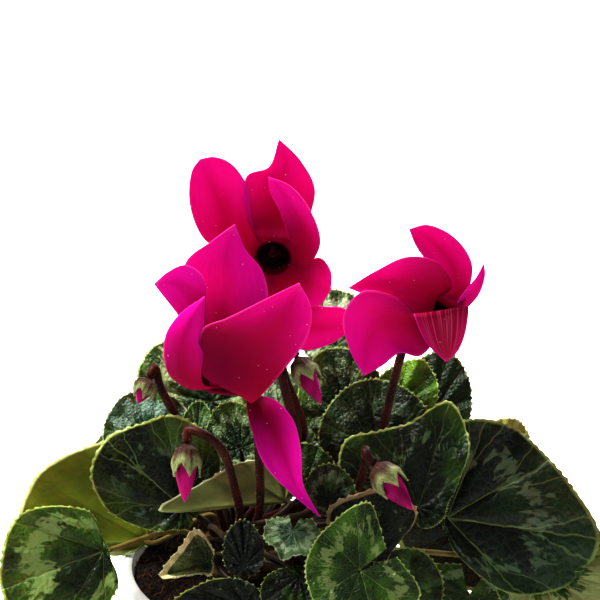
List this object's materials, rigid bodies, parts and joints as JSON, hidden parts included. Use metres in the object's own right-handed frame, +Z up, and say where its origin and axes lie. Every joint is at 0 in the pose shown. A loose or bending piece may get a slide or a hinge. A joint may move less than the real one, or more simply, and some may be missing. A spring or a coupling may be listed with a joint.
{
  "type": "potted cyclamen",
  "caption": "Flowering cyclamen in a small round pot: marbled heart-shaped leaves on long stalks round a tuber, nodding buds and open blooms with swept-back petals",
  "frame": {"origin": "centre of the pot's underside, on the plane it stands on", "axes": "+Z up along the pot's axis, front of the plant towards -Y"},
  "size_m": [0.2437, 0.1604, 0.27],
  "materials": {
    "pot_plastic": "matt white moulded plastic",
    "peat": "dark fibrous potting soil",
    "corm": "rough brown corky skin",
    "foliage": "dark green leaf with silver marbling, lime toothed edge",
    "petal": "soft magenta, darker towards the mouth",
    "stem": "red-brown matt stalk, olive sepals"
  },
  "bodies": {
    "root": {"pot": "pot_plastic", "soil": "peat", "tuber": "corm", "leaf_01": "foliage", "leaf_02": "foliage", "leaf_03": "foliage", "leaf_04": "foliage", "leaf_05": "foliage", "leaf_06": "foliage", "leaf_07": "foliage", "leaf_08": "foliage", "leaf_09": "foliage", "leaf_10": "foliage", "leaf_11": "foliage", "leaf_12": "foliage", "leaf_13": "foliage", "leaf_14": "foliage", "leaf_15": "foliage", "leaf_16": "foliage", "leaf_17": "foliage", "leaf_18": "foliage", "leaf_19": "foliage", "leaf_20": "foliage", "leaf_21": "foliage", "leaf_22": "foliage", "leaf_23": "foliage", "leaf_24": "foliage", "leaf_25": "foliage", "leaf_26": "foliage", "leaf_27": "foliage", "leaf_28": "foliage", "leaf_29": "foliage", "leaf_30": "foliage", "leaf_31": "foliage", "leaf_32": "foliage", "leaf_33": "foliage", "leaf_34": "foliage", "bloom_top_petals": "petal", "bloom_top_stalk": "stem", "bloom_left_petals": "petal", "bloom_left_stalk": "stem", "bloom_right_petals": "petal", "bloom_right_stalk": "stem", "bud_left_petals": "petal", "bud_left_stalk": "stem", "bud_front_petals": "petal", "bud_front_stalk": "stem", "bud_middle_petals": "petal", "bud_middle_stalk": "stem", "bud_right_petals": "petal", "bud_right_stalk": "stem"}
  },
  "joints": []
}
